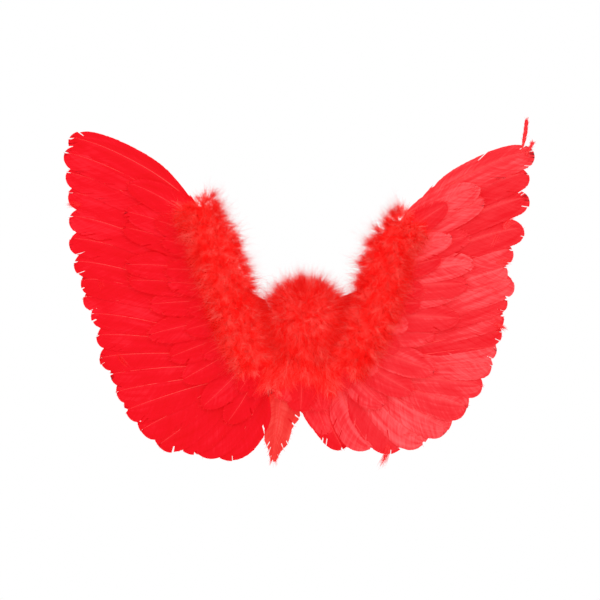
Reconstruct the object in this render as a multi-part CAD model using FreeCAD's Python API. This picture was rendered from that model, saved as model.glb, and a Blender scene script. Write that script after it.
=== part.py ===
import FreeCAD, Part
import os
from math import hypot, pi, radians, sin, tan

# Feather wings worn on the back. Millimetres, +Z up, the decorated face looks along -Y and the
# wearer stands at +Y. The origin is the centre of the back pad's flat face.
V = FreeCAD.Vector
LEFT, RIGHT = -1, 1

# back board, pad and straps
BOARD_W, BOARD_H, BOARD_CORNER = 50.0, 90.0, 12.0
BOARD_BACK, BOARD_FRONT = -4.0, -5.6
PAD_W, PAD_H, PAD_CORNER = 40.0, 52.0, 9.0
STRAP_W, STRAP_T = 12.0, 1.2
STRAP_X, STRAP_SPREAD = 14.0, 18.0
STRAP_END, STRAP_STATIONS = 29.0, 36
STRAP_ROUTE = [(0, 38), (5, 47), (18, 50), (40, 41), (60, 15), (66, -18), (56, -50),
               (34, -67), (14, -65), (3, -53), (0, -38)]
STITCH_T, STITCH_W = 0.4, 0.8
BOX_STITCH_W, BOX_STITCH_H, STITCH_INSET = 9.0, 7.0, 4.5

# hinge line: the straight inner run of each wire frame turns in a sewn sleeve
HINGE_X, HINGE_Y = 28.0, -4.0
WIRE_R, SLEEVE_BORE_R, SLEEVE_R, SLEEVE_H = 1.0, 1.06, 2.2, 44.0
FLANGE_W, FLANGE_T = 8.5, 0.8
SLEEVE_STITCHES, STITCH_LENGTH = 8, 3.4
STITCH_PITCH = SLEEVE_H / SLEEVE_STITCHES
CRIMP_R = 1.8
FERRULE_Z, FERRULE_H = 22.6, 7.0
STOP_RING_Z, STOP_RING_H = -26.0, 3.0
WIRE_END_GAP = 0.4
WIRE_CORNER_R = 9.0
WIRE_LOOP = [(28, 37), (58, 46), (102, 104), (128, 130), (150, 122), (160, 60),
             (150, -2), (116, -48), (62, -52), (28, -38)]

# felt base in front of the wire, lining behind it
FELT_BACK, FELT_T = -5.1, 1.1
LINING_BACK, LINING_T = -2.3, 0.6
FELT_CORNER_R = 8.0
FELT_OUTLINE = [(32, -46), (60, -60), (120, -56), (158, -5), (168, 60), (160, 130),
                (132, 142), (108, 124), (70, 60), (32, 44)]

# feathers: vane thickness, the shingle angle of each vane, and the step from one to the next
VANE_T, SHINGLE, STEP = 0.2, radians(3.0), 0.16
# half width of a vane along its length, as shares of the length and of half the width
VANE_SHAPE = [(0.0, 0.09), (0.14, 0.4), (0.34, 0.86), (0.6, 1.0), (0.86, 0.93), (0.965, 0.62)]

# Rows of one wing: node, Y of its lowest feather, width, bend of the lowest and of the highest
# feather, root of the highest and of the lowest feather, and the tips from highest to lowest.
LEFT_ROWS = [
    ("primary_feathers", -9.1, 31, 4, 8, (-98, 133), (-109, 36),
     [(-231, 207), (-236, 192), (-234, 172), (-232, 152), (-231, 128), (-231, 105), (-226, 83),
      (-219, 64)]),
    ("secondary_feathers", -8.2, 30, 1, 4, (-109, 20), (-86, -32),
     [(-217, 48), (-209, 31), (-204, 9), (-201, -14), (-190, -30), (-184, -48)]),
    ("tertial_feathers", -7.2, 33, -10, 1, (-80, -35), (-37, -31),
     [(-175, -66), (-160, -86), (-142, -101), (-120, -104), (-103, -110), (-81, -113)]),
    ("greater_coverts", -12.1, 27, -3, 5, (-86, 108), (-40, -20),
     [(-184, 160), (-181, 133), (-176, 108), (-171, 84), (-165, 60), (-157, 36), (-146, 11),
      (-134, -14), (-120, -38), (-98, -58), (-72, -74)]),
    ("median_coverts", -15.3, 24, -2, 4, (-78, 92), (-37, -8),
     [(-142, 132), (-138, 106), (-134, 82), (-128, 58), (-121, 35), (-112, 12), (-98, -10),
      (-80, -28), (-60, -42)]),
    ("scapular_feathers", -17.5, 17, -2, -1, (-36, -4), (-32, -12), [(-62, -42), (-45, -51)]),
]
RIGHT_ROWS = [
    ("primary_feathers", -9.1, 31, 3, 9, (102, 119), (109, 22),
     [(234, 193), (229, 171), (229, 147), (224, 116), (213, 95), (208, 77), (214, 63)]),
    ("secondary_feathers", -8.2, 29, 1, 3, (108, 9), (87, -32),
     [(207, 46), (204, 29), (202, 13), (197, -3), (193, -21), (183, -42)]),
    ("tertial_feathers", -7.2, 34, -6, 0, (80, -35), (38, -32),
     [(168, -63), (149, -85), (125, -99), (100, -105), (72, -104)]),
    ("greater_coverts", -12.1, 28, -3, 4, (86, 104), (44, -18),
     [(187, 167), (180, 139), (172, 112), (166, 88), (162, 68), (158, 48), (155, 29), (147, 3),
      (137, -23), (113, -44), (86, -62)]),
    ("median_coverts", -15.3, 25, -2, 3, (80, 88), (37, -8),
     [(150, 134), (146, 111), (138, 84), (132, 60), (124, 38), (114, 14), (98, -8),
      (78, -26), (58, -40)]),
    ("scapular_feathers", -17.5, 19, -2, 1, (34, 6), (32, -8), [(60, 2), (50, -46)]),
]
# single feathers: root, tip, width, bend, Y
TAIL_FEATHERS = [((-7, -16), (-17, -84), 22, -2, -6.5), ((5, -16), (28, -90), 27, -3, -6.15),
                 ((10, -18), (43, -105), 31, -4, -5.8)]
CENTRE_COVERTS = [((11, -16), (19, -62), 20, -1, -9.8), ((-8, -16), (-17, -60), 21, 1, -10.2),
                  ((1, -15), (-2, -64), 24, 1, -10.6)]
LOOSE_PLUME = ((-18, -44), (-27, -117), 25, -1, -7.3)
STRIPPED_QUILLS = [((221, 193), (226.5, 226), 4, -1, -11.6), ((226, 190), (233, 203), 3.2, 0, -12.0)]

# marabou: stations (x, z, width) along each band, measured at its flat back
MARABOU_BACK, MARABOU_DEPTH = -19.2, 16.0
LEFT_BAND = [(-106, 139, 36), (-93, 115, 48), (-81, 87, 50), (-71, 58, 50), (-63, 29, 48),
             (-54, 2, 42), (-45, -16, 24)]
RIGHT_BAND = [(112, 122, 34), (95, 103, 46), (84, 76, 48), (78, 48, 48), (69, 22, 46),
              (56, -1, 42), (45, -18, 24)]
MARABOU_FULL_WIDTH = 44.0
CORD_R, CORD_CLEARANCE, CORD_DEPTH, CORD_OVERRUN = 1.2, 0.1, 5.0, 4.0
MOUND_BACK, MOUND_FRONT = -7.4, -33.0
MOUND_BOTTOM, MOUND_TOP = -13.0, 61.0
MOUND_HALF_BACK, MOUND_HALF_FRONT = 22.0, 11.0


def rounded_edges(points, radius, closed):
    """Lines and tangent arcs through (x, z) points in the plane Y = 0."""
    pts = [V(x, 0, z) for x, z in points]
    count = len(pts)
    corners = range(count) if closed else range(1, count - 1)
    ends = {i: (pts[i], pts[i]) for i in range(count)}
    arcs = {}
    for i in corners:
        a, b, c = pts[i - 1], pts[i], pts[(i + 1) % count]
        u, w = (a - b).normalize(), (c - b).normalize()
        half = u.getAngle(w) / 2
        cut = radius / tan(half)
        middle = (u + w).normalize()
        ends[i] = (b + u * cut, b + w * cut)
        arcs[i] = Part.Arc(ends[i][0], b + middle * (radius / sin(half) - radius), ends[i][1])
    edges = []
    for i in range(count if closed else count - 1):
        if i in arcs:
            edges.append(arcs[i].toShape())
        edges.append(Part.LineSegment(ends[i][1], ends[(i + 1) % count][0]).toShape())
    return edges


def plate(outline, corner_radius, back, thickness):
    """A flat plate: its back face at Y = back, its front face thickness further along -Y."""
    wire = Part.Wire(rounded_edges(outline, corner_radius, closed=True))
    face = Part.Face(wire)
    face.translate(V(0, back, 0))
    return face.extrude(V(0, -thickness, 0))


def rectangle(width, height, cx=0.0, cz=0.0):
    x, z = width / 2, height / 2
    return [(cx - x, cz - z), (cx + x, cz - z), (cx + x, cz + z), (cx - x, cz + z)]


def rod(x, y, z, radius, height):
    return Part.makeCylinder(radius, height, V(x, y, z), V(0, 0, 1))


def feather(side, root, tip, width, bend, y, tilt=0.0):
    """One vane: narrow at its root, round at its tip, bowed by bend and tilted about its shaft."""
    length = hypot(tip[0] - root[0], tip[1] - root[1])
    ux, uz = (tip[0] - root[0]) / length, (tip[1] - root[1]) / length
    vx, vz = -side * uz, side * ux

    def place(along, across):
        u = along * length
        v = across * width / 2 + 4 * bend * along * (1 - along)
        return V(root[0] + u * ux + v * vx, y + v * tan(tilt), root[1] + u * uz + v * vz)

    upper = [place(s, h) for s, h in VANE_SHAPE]
    lower = [place(s, -h) for s, h in reversed(VANE_SHAPE)]
    edge = Part.BSplineCurve()
    edge.interpolate(upper + [place(1.0, 0.0)] + lower)
    root_edge = Part.LineSegment(lower[-1], upper[0]).toShape()
    face = Part.Face(Part.Wire([edge.toShape(), root_edge]))
    return face.extrude(V(0, -VANE_T, 0))


def between(a, b, share):
    return tuple(p + (q - p) * share for p, q in zip(a, b))


def feather_row(side, y, width, bend_low, bend_high, root_high, root_low, tips):
    """The feathers of one row, each one in front of the one below it."""
    solids = []
    last = len(tips) - 1
    for i, tip in enumerate(tips):
        share = i / last
        root = between(root_high, root_low, share)
        bend = bend_high + (bend_low - bend_high) * share
        solids.append(feather(side, root, tip, width, bend, y - STEP * (last - i), SHINGLE))
    return solids


def half_ellipse(centre, across, width, depth):
    """A closed D section: flat towards +Y, round towards -Y."""
    half = across * (width / 2)
    long, short, turn = (half, V(0, -depth, 0), pi) if width / 2 >= depth else (V(0, -depth, 0), half, pi)
    ellipse = Part.Ellipse(centre + long, centre + short, centre)
    start = ellipse.parameter(centre + half)
    end = ellipse.parameter(centre - half)
    curve = Part.ArcOfEllipse(ellipse, min(start, end), max(start, end))
    if curve.value((curve.FirstParameter + curve.LastParameter) / 2).y > centre.y:
        curve = Part.ArcOfEllipse(ellipse, max(start, end), min(start, end) + 2 * turn)
    edge = curve.toShape()
    closing = Part.LineSegment(edge.Vertexes[-1].Point, edge.Vertexes[0].Point).toShape()
    return Part.Wire([edge, closing])


def cord_path(stations):
    """A smooth line down the middle of a band, run on past its two ends."""
    points = [V(x, MARABOU_BACK - CORD_DEPTH, z) for x, z, width in stations]
    points[0] = points[0] + (points[0] - points[1]).normalize() * CORD_OVERRUN
    points[-1] = points[-1] + (points[-1] - points[-2]).normalize() * CORD_OVERRUN
    curve = Part.BSplineCurve()
    curve.interpolate(points)
    return curve


def tube_along(curve, radius):
    start = curve.value(curve.FirstParameter)
    circle = Part.makeCircle(radius, start, curve.tangent(curve.FirstParameter)[0])
    return Part.Wire(curve.toShape()).makePipeShell([Part.Wire(circle)], True, False)


def down_band(stations):
    """A soft D-shaped band with a flat back."""
    sections = []
    for i, (x, z, width) in enumerate(stations):
        before, after = stations[max(i - 1, 0)], stations[min(i + 1, len(stations) - 1)]
        run = V(after[0] - before[0], 0, after[1] - before[1]).normalize()
        depth = MARABOU_DEPTH * min(1.0, width / MARABOU_FULL_WIDTH)
        sections.append(half_ellipse(V(x, MARABOU_BACK, z), V(-run.z, 0, run.x), width, depth))
    return Part.makeLoft(sections, True, False)


def marabou_trim(stations):
    return down_band(stations).cut(tube_along(cord_path(stations), CORD_R + CORD_CLEARANCE))


def boa_cord(stations):
    """The twisted core that the down is spun into, as long as its band."""
    return tube_along(cord_path(stations), CORD_R).common(down_band(stations))


def rounded_mound(half, bottom, top, y):
    """The outline of the middle tuft: straight sides under a round top."""
    shoulder = top - half
    arc = Part.Arc(V(half, y, shoulder), V(0, y, top), V(-half, y, shoulder)).toShape()
    left = Part.LineSegment(V(-half, y, shoulder), V(-half, y, bottom)).toShape()
    base = Part.LineSegment(V(-half, y, bottom), V(half, y, bottom)).toShape()
    right = Part.LineSegment(V(half, y, bottom), V(half, y, shoulder)).toShape()
    return Part.Wire([arc, left, base, right])


def back_board():
    return plate(rectangle(BOARD_W, BOARD_H), BOARD_CORNER, BOARD_BACK, BOARD_BACK - BOARD_FRONT)


def back_pad():
    return plate(rectangle(PAD_W, PAD_H), PAD_CORNER, 0.0, -BOARD_BACK)


def hinge_sleeve(side):
    """A tube for the wire, with a flange that lies on the board's front face."""
    x = side * HINGE_X
    bottom = -SLEEVE_H / 2
    tube = rod(x, HINGE_Y, bottom, SLEEVE_R, SLEEVE_H)
    flange = Part.makeBox(FLANGE_W, FLANGE_T, SLEEVE_H, V(HINGE_X - SLEEVE_R / 2 - FLANGE_W,
                                                          BOARD_FRONT - FLANGE_T, bottom))
    if side == LEFT:
        flange = flange.mirror(V(0, 0, 0), V(1, 0, 0))
    bore = rod(x, HINGE_Y, bottom, SLEEVE_BORE_R, SLEEVE_H)
    return tube.fuse(flange).removeSplitter().cut(bore)


def strap_section(middle, run):
    """A rectangle across the strap, its wide side along X."""
    flat = V(0, run.z, -run.y) * (STRAP_T / 2)
    wide = V(STRAP_W / 2, 0, 0)
    corners = [middle + wide + flat, middle - wide + flat, middle - wide - flat, middle + wide - flat]
    return Part.makePolygon(corners + corners[:1])


def shoulder_strap(side):
    """An elastic band sewn flat on the board at both ends, standing off it as a loop."""
    up = V(0, 0, 1)
    y0 = BOARD_BACK + STRAP_T / 2
    loop = Part.BSplineCurve()
    loop.interpolate(Points=[V(0, y0 + y, z) for y, z in STRAP_ROUTE],
                     InitialTangent=up, FinalTangent=up)
    sections = [strap_section(V(side * STRAP_X, y0, STRAP_END), up)]
    for i in range(STRAP_STATIONS + 1):
        share = i / STRAP_STATIONS
        at = loop.FirstParameter + (loop.LastParameter - loop.FirstParameter) * share
        sideways = V(side * (STRAP_X + STRAP_SPREAD * sin(pi * share) ** 2), 0, 0)
        sections.append(strap_section(loop.value(at) + sideways, loop.tangent(at)[0]))
    sections.append(strap_section(V(side * STRAP_X, y0, -STRAP_END), up))
    return Part.makeLoft(sections, True, True)


def strap_stitching():
    """One sewn rectangle over each strap end."""
    solids = []
    y = BOARD_BACK + STRAP_T
    for side in (LEFT, RIGHT):
        for middle in (STRAP_END + STITCH_INSET, -STRAP_END - STITCH_INSET):
            x, z = side * STRAP_X - BOX_STITCH_W / 2, middle - BOX_STITCH_H / 2
            outer = Part.makeBox(BOX_STITCH_W, STITCH_T, BOX_STITCH_H, V(x, y, z))
            inner = Part.makeBox(BOX_STITCH_W - 2 * STITCH_W, STITCH_T, BOX_STITCH_H - 2 * STITCH_W,
                                 V(x + STITCH_W, y, z + STITCH_W))
            solids.append(outer.cut(inner))
    return solids


def sleeve_stitching():
    """A line of stitches through each sleeve's flange."""
    solids = []
    for side in (LEFT, RIGHT):
        x = side * (HINGE_X - FLANGE_W + 2)
        for i in range(SLEEVE_STITCHES):
            z = -SLEEVE_H / 2 + STITCH_PITCH * (i + 0.5) - STITCH_LENGTH / 2
            solids.append(Part.makeBox(STITCH_W, STITCH_T, STITCH_LENGTH,
                                       V(x - STITCH_W / 2, BOARD_FRONT - FLANGE_T - STITCH_T, z)))
    return solids


def mirrored(points, side):
    return [(side * x, z) for x, z in points]


def wire_frame(side):
    """One length of wire bent into the wing's loop, its two ends meeting inside the ferrule."""
    join = FERRULE_Z + FERRULE_H / 2
    start, end = (HINGE_X, join + WIRE_END_GAP / 2), (HINGE_X, join - WIRE_END_GAP / 2)
    route = mirrored([start] + WIRE_LOOP + [end], side)
    path = Part.Wire(rounded_edges(route, WIRE_CORNER_R, closed=False))
    path.translate(V(0, HINGE_Y, 0))
    circle = Part.Wire(Part.makeCircle(WIRE_R, V(route[0][0], HINGE_Y, route[0][1]), V(0, 0, 1)))
    return path.makePipeShell([circle], True, False)


def wire_crimps(side):
    """The ferrule that joins the wire's ends above the sleeve, and the stop ring below it."""
    solids = []
    for z, height in ((FERRULE_Z, FERRULE_H), (STOP_RING_Z, STOP_RING_H)):
        ring = rod(side * HINGE_X, HINGE_Y, z, CRIMP_R, height)
        solids.append(ring.cut(rod(side * HINGE_X, HINGE_Y, z, WIRE_R, height)))
    return solids


def wing_base(side):
    return plate(mirrored(FELT_OUTLINE, side), FELT_CORNER_R, FELT_BACK, FELT_T)


def back_lining(side):
    return plate(mirrored(FELT_OUTLINE, side), FELT_CORNER_R, LINING_BACK, LINING_T)


def build_nodes():
    nodes = {
        "back_board": [back_board()],
        "back_pad": [back_pad()],
        "strap_stitching": strap_stitching(),
        "sleeve_stitching": sleeve_stitching(),
        "tail_feathers": [feather(RIGHT, *row) for row in TAIL_FEATHERS],
        "centre_coverts": [feather(RIGHT, *row) for row in CENTRE_COVERTS],
        "loose_plume": [feather(LEFT, *LOOSE_PLUME)],
        "stripped_quills": [feather(RIGHT, *row) for row in STRIPPED_QUILLS],
    }
    mound_back = rounded_mound(MOUND_HALF_BACK, MOUND_BOTTOM, MOUND_TOP, MOUND_BACK)
    mound_front = rounded_mound(MOUND_HALF_FRONT, MOUND_BOTTOM + 8, MOUND_TOP - 18, MOUND_FRONT)
    nodes["centre_marabou"] = [Part.makeLoft([mound_back, mound_front], True, True)]
    for side, name, rows, band in ((LEFT, "left", LEFT_ROWS, LEFT_BAND),
                                   (RIGHT, "right", RIGHT_ROWS, RIGHT_BAND)):
        nodes["hinge_sleeve_" + name] = [hinge_sleeve(side)]
        nodes["shoulder_strap_" + name] = [shoulder_strap(side)]
        nodes["wire_frame_" + name] = [wire_frame(side)]
        nodes["wire_crimps_" + name] = wire_crimps(side)
        nodes["wing_base_" + name] = [wing_base(side)]
        nodes["back_lining_" + name] = [back_lining(side)]
        nodes["marabou_trim_" + name] = [marabou_trim(band)]
        nodes["boa_cord_" + name] = [boa_cord(band)]
        for row, *values in rows:
            nodes[row + "_" + name] = feather_row(side, *values)
    return nodes


os.makedirs("parts", exist_ok=True)
for node, solids in sorted(build_nodes().items()):
    shape = solids[0] if len(solids) == 1 else Part.makeCompound(solids)
    if not shape.isValid() or len(shape.Solids) != len(solids) or shape.Volume <= 0:
        raise ValueError("bad solid in " + node)
    shape.exportStep("parts/" + node + ".step")
    box = shape.BoundBox
    print(node, len(solids), round(shape.Volume), [round(v, 1) for v in (
        box.XMin, box.XMax, box.YMin, box.YMax, box.ZMin, box.ZMax)])
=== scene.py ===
import math
from dataclasses import dataclass

import bpy
import numpy as np
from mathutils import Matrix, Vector
from mathutils.geometry import delaunay_2d_cdt


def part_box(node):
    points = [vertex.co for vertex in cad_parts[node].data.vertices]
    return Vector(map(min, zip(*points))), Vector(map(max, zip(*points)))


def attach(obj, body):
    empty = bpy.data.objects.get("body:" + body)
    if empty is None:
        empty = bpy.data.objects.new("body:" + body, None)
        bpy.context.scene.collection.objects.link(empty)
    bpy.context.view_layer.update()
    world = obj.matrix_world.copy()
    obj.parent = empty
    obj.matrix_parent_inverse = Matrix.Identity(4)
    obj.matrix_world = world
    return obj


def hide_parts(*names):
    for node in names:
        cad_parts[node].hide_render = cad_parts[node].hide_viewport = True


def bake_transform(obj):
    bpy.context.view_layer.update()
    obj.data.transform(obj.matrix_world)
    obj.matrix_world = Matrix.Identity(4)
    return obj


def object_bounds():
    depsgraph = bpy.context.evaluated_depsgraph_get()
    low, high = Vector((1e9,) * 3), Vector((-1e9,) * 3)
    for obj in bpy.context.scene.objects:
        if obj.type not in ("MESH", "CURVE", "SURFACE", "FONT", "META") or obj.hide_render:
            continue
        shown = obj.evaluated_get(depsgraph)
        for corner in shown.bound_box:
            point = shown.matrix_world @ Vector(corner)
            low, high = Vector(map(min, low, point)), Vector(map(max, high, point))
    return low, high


# Red feather costume wings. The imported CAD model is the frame; everything here is its looks.
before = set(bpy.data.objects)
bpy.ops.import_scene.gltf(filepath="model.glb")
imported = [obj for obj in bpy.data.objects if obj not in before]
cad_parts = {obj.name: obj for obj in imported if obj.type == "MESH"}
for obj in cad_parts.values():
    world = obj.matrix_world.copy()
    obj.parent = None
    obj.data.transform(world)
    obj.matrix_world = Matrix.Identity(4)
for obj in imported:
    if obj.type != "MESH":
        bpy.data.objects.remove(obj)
cad_low, cad_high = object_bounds()
WINGS = (("left", "left_wing", -1), ("right", "right_wing", 1))
FRONT, BACK = np.array((0.0, -1.0, 0.0)), np.array((0.0, 1.0, 0.0))
TURN = 2 * math.pi


# ---- mesh helpers

def unit(vectors):
    """The same directions with length 1."""
    return vectors / np.linalg.norm(vectors, axis=-1, keepdims=True)


def travelled(path):
    """The distance along a path at each of its points."""
    return np.r_[0, np.cumsum(np.linalg.norm(np.diff(path, axis=0), axis=1))]


def upright(xz, y):
    """Points of the frame from (x, z) pairs and their y."""
    return np.stack([xz[:, 0], np.broadcast_to(y, len(xz)), xz[:, 1]], 1)


def linked(name, data):
    """A new object with its data, in the scene."""
    obj = bpy.data.objects.new(name, data)
    bpy.context.scene.collection.objects.link(obj)
    return obj


def new_object(name, points, faces, materials, face_slots=None, grain=None):
    """A smooth mesh object at the origin, with its material slots and its grain attribute."""
    mesh = bpy.data.meshes.new(name)
    mesh.from_pydata(np.asarray(points).tolist(), [], faces)
    for item in materials:
        mesh.materials.append(item)
    if face_slots is not None:
        mesh.polygons.foreach_set("material_index", np.asarray(face_slots, np.int32))
    mesh.polygons.foreach_set("use_smooth", np.ones(len(faces), bool))
    if grain is not None:
        layer = mesh.attributes.new("grain", "FLOAT_VECTOR", "POINT")
        layer.data.foreach_set("vector", np.asarray(grain, np.float32).ravel())
    mesh.update()
    return linked(name, mesh)


def place(obj, body, slot, *nodes):
    """Puts a finished piece on its body, in place of its CAD nodes."""
    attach(obj, body)
    if nodes:
        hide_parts(*nodes)


def rounded(obj):
    """Rounds a coarse mesh with one level of subdivision."""
    smooth = obj.modifiers.new("smooth", "SUBSURF")
    smooth.levels = smooth.render_levels = 1
    return obj


def welded(node):
    """The points and triangles of a CAD node, with the points of its faces joined."""
    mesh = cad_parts[node].data
    points = np.zeros(len(mesh.vertices) * 3, np.float32)
    mesh.vertices.foreach_get("co", points)
    mesh.calc_loop_triangles()
    triangles = np.zeros(len(mesh.loop_triangles) * 3, np.int32)
    mesh.loop_triangles.foreach_get("vertices", triangles)
    keys = np.round(points.reshape(-1, 3).astype(float) * 1e6).astype(np.int64)
    unique, inverse = np.unique(keys, axis=0, return_inverse=True)
    return unique / 1e6, inverse.reshape(-1)[triangles].reshape(-1, 3)


def solids_of(node):
    """The separate solids of a CAD node, each as its points and triangles."""
    points, triangles = welded(node)
    label = np.arange(len(points))
    while True:
        low = label[triangles].min(axis=1)
        fresh = label.copy()
        for k in range(3):
            np.minimum.at(fresh, triangles[:, k], low)
        if (fresh == label).all():
            break
        label = fresh
    found = []
    for value in np.unique(label[triangles]):
        own = triangles[label[triangles[:, 0]] == value]
        used, renumbered = np.unique(own, return_inverse=True)
        found.append((points[used], renumbered.reshape(-1, 3)))
    return found


def front_outline(points, triangles):
    """The closed outline of the face that looks along -Y, as points in order."""
    a, b, c = (points[triangles[:, k]] for k in range(3))
    normal = np.cross(b - a, c - a)
    normal /= np.maximum(np.linalg.norm(normal, axis=1), 1e-15)[:, None]
    face = triangles[normal[:, 1] < -0.9]
    edges = np.concatenate([face[:, (0, 1)], face[:, (1, 2)], face[:, (2, 0)]])
    inner = set(map(tuple, edges))
    following = {i: j for i, j in edges if (j, i) not in inner}
    start = next(iter(following))
    loop, at = [start], following[start]
    while at != start:
        loop.append(at)
        at = following[at]
    return points[loop]


def ring_faces(rings, count, inward=False):
    """The quads between rings of count points each, and a face over each open end."""
    faces = []
    for k in range(rings - 1):
        for j in range(count):
            a, b = k * count + j, k * count + (j + 1) % count
            faces.append((a, b, b + count, a + count))
    faces.append(tuple(range(count))[::-1])
    faces.append(tuple(range((rings - 1) * count, rings * count)))
    return [(f[0],) + f[:0:-1] for f in faces] if inward else faces


def ring_grain(along, sides, tone=0.0):
    """The grain of a tube's points: distance along in millimetres, share of the way round, tone."""
    return np.stack([np.repeat(along, sides), np.tile(np.arange(sides) / sides, len(along)),
                     np.full(len(along) * sides, tone)], axis=1)


def tube(path, radii, sides=6):
    """Points and faces of a tube along a path, closed at both ends."""
    path = np.asarray(path, float)
    run = unit(np.gradient(path, axis=0))
    side = np.cross(run, (0.0, 0.0, 1.0))
    upright = np.linalg.norm(side, axis=1) < 0.2
    side[upright] = np.cross(run[upright], BACK)
    side = unit(side)
    up = np.cross(side, run)
    turn = TURN * np.arange(sides) / sides
    ring = np.cos(turn)[:, None] * side[:, None] + np.sin(turn)[:, None] * up[:, None]
    points = path[:, None] + np.broadcast_to(radii, len(path))[:, None, None] * ring
    return points.reshape(-1, 3), ring_faces(len(path), sides)


class Pieces:
    """Collects points and faces of many small parts into one mesh."""

    def __init__(self):
        self.points, self.faces, self.slots, self.grain, self.count = [], [], [], [], 0

    def add(self, points, faces, grain, slot=0):
        self.points.append(points)
        self.faces += [tuple(i + self.count for i in f) for f in faces]
        self.slots += [slot] * len(faces)
        self.grain.append(grain)
        self.count += len(points)

    def build(self, name, materials):
        return new_object(name, np.concatenate(self.points), self.faces, materials,
                          self.slots, np.concatenate(self.grain))


RIBBON = ((0.0, 1.0), (0.38, 0.9), (0.74, 0.62))  # shares of a fibre's length, and of its width there


def ribbons(name, base, along, bend, length, width, slots, materials, rng, normal):
    """Many fine tapered fibres: each leaves its base, bends on its way and is shaded by its normal."""
    count = len(base)
    normal = unit(normal)
    side = unit(np.cross(along, normal + rng.normal(0, 0.35, size=(count, 3))))
    rings = []
    for share, thick in RIBBON:
        middle = base + along * (length * share)[:, None] + bend * (length * share ** 2)[:, None]
        half = side * (width * thick / 2)[:, None]
        rings += [middle - half, middle + half]
    rings.append(base + along * length[:, None] + bend * length[:, None])
    points = np.stack(rings, axis=1).reshape(-1, 3)
    first = np.arange(count)[:, None] * len(rings)
    quads = np.concatenate([first + (0, 1, 3, 2), first + (2, 3, 5, 4)])
    tips = first + (4, 5, 6)
    obj = new_object(name, points, quads.tolist() + tips.tolist(), materials, np.concatenate([slots] * 3))
    obj.data.normals_split_custom_set_from_vertices(np.repeat(normal, len(rings), axis=0))
    return obj


# ---- materials

class Maker:
    """A material whose nodes are added one by one."""

    def __init__(self, name):
        self.material = bpy.data.materials.new(name)
        self.material.use_nodes = True
        self.tree = self.material.node_tree
        self.shader = self.tree.nodes["Principled BSDF"]

    def fill(self, socket, value):
        """Links a socket to another node's output, or gives it a plain value."""
        if isinstance(value, bpy.types.NodeSocket):
            self.tree.links.new(value, socket)
        else:
            socket.default_value = (*value, 1.0) if socket.type == "RGBA" else value

    def add(self, kind, inputs, output=0, **settings):
        """A new node with its settings and inputs filled in; gives back one of its outputs."""
        made = self.tree.nodes.new("ShaderNode" + kind)
        for name, value in settings.items():
            setattr(made, name, value)
        for key, value in inputs.items():
            self.fill(made.inputs[key], value)
        return made.outputs[output]

    def grain(self):
        return self.add("Attribute", {}, "Vector", attribute_name="grain")

    def place(self):
        return self.add("TexCoord", {}, "Object")

    def part(self, vector, axis):
        return self.add("SeparateXYZ", {"Vector": vector}, axis)

    def noise(self, vector, scale, detail=3.0, distortion=0.0):
        """Noise of one scale, or stretched by a scale of its own along each axis."""
        if isinstance(scale, tuple):
            vector, scale = self.add("Mapping", {"Vector": vector, "Scale": scale}), 1.0
        return self.add("TexNoise", {"Vector": vector, "Scale": scale, "Detail": detail,
                                     "Roughness": 0.55, "Distortion": distortion}, "Fac")

    def maths(self, how, a, b=0.0):
        return self.add("Math", {0: a, 1: b}, operation=how)

    def total(self, *layers):
        """The sum of values, each given alone or with its weight."""
        terms = [self.maths("MULTIPLY", *item) if isinstance(item, tuple) else item for item in layers]
        value = terms[0]
        for term in terms[1:]:
            value = self.maths("ADD", value, term)
        return value

    def ramp(self, value, *stops):
        """A colour for each value, from stops of (value, colour)."""
        colour = self.add("ValToRGB", {"Fac": value})
        elements = colour.node.color_ramp.elements
        while len(elements) < len(stops):
            elements.new(0.5)
        for element, (at, shade) in zip(elements, stops):
            element.position = at
            element.color = (*shade, 1.0)
        return colour

    def span(self, value, low, high, to_low, to_high):
        return self.add("MapRange", {"Value": value, "From Min": low, "From Max": high,
                                     "To Min": to_low, "To Max": to_high})

    def finish(self, colour, roughness, gloss=0.5, bump=None, sheen=None, glow=None):
        """Fills the shader. bump is (height, strength, distance), sheen (weight, roughness, tint)
        and glow (colour, strength)."""
        values = {"Base Color": colour, "Roughness": roughness, "Specular IOR Level": gloss}
        if bump:
            values["Normal"] = self.add("Bump", dict(zip(("Height", "Strength", "Distance"), bump)))
        if sheen:
            values.update(zip(("Sheen Weight", "Sheen Roughness", "Sheen Tint"), sheen))
        if glow:
            values.update(zip(("Emission Color", "Emission Strength"), glow))
        for name, value in values.items():
            self.fill(self.shader.inputs[name], value)
        return self.material


# Painted glow: a constant red emission that stands in for the red light passing through webs and fibres
# this thin, and that lifts the shade between and under them.
VANE_PAINTED_GLOW, DOWN_PAINTED_GLOW = 0.21, 0.36
DOWN_PAINTED_GLOW_COLOUR, DOWN_TINT = (1.0, 0.008, 0.005), (1.0, 0.3, 0.25)


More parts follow.
